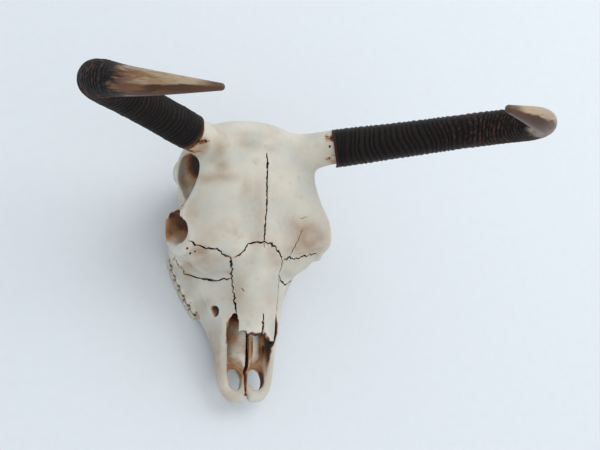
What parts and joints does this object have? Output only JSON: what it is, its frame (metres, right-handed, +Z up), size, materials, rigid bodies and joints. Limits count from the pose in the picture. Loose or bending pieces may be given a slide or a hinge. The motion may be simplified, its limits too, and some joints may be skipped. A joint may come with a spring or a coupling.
{
  "type": "cow skull",
  "caption": "Life-size horned cow skull that lies on its cheek teeth and the two processes at the back of its base, muzzle forward.",
  "frame": {"origin": "on the floor, below the middle of the whole skull's box", "axes": "+X across the skull towards the side named right, +Y from the muzzle towards the poll, +Z up; left and right are named as seen from in front of the face"},
  "size_m": [0.6952, 0.41, 0.5802],
  "materials": {
    "bone": "dry bone, slightly polished, with brown stains in its hollows",
    "horn": "dark ringed horn with pale smooth tips, satin"
  },
  "bodies": {
    "root": {"cranium": "bone", "occiput": "bone", "nasal_bones": "bone", "cheekbone_left": "bone", "cheekbone_right": "bone", "maxilla_left": "bone", "maxilla_right": "bone", "premaxilla_left": "bone", "premaxilla_right": "bone", "horn_left": "horn", "horn_right": "horn"}
  },
  "joints": []
}
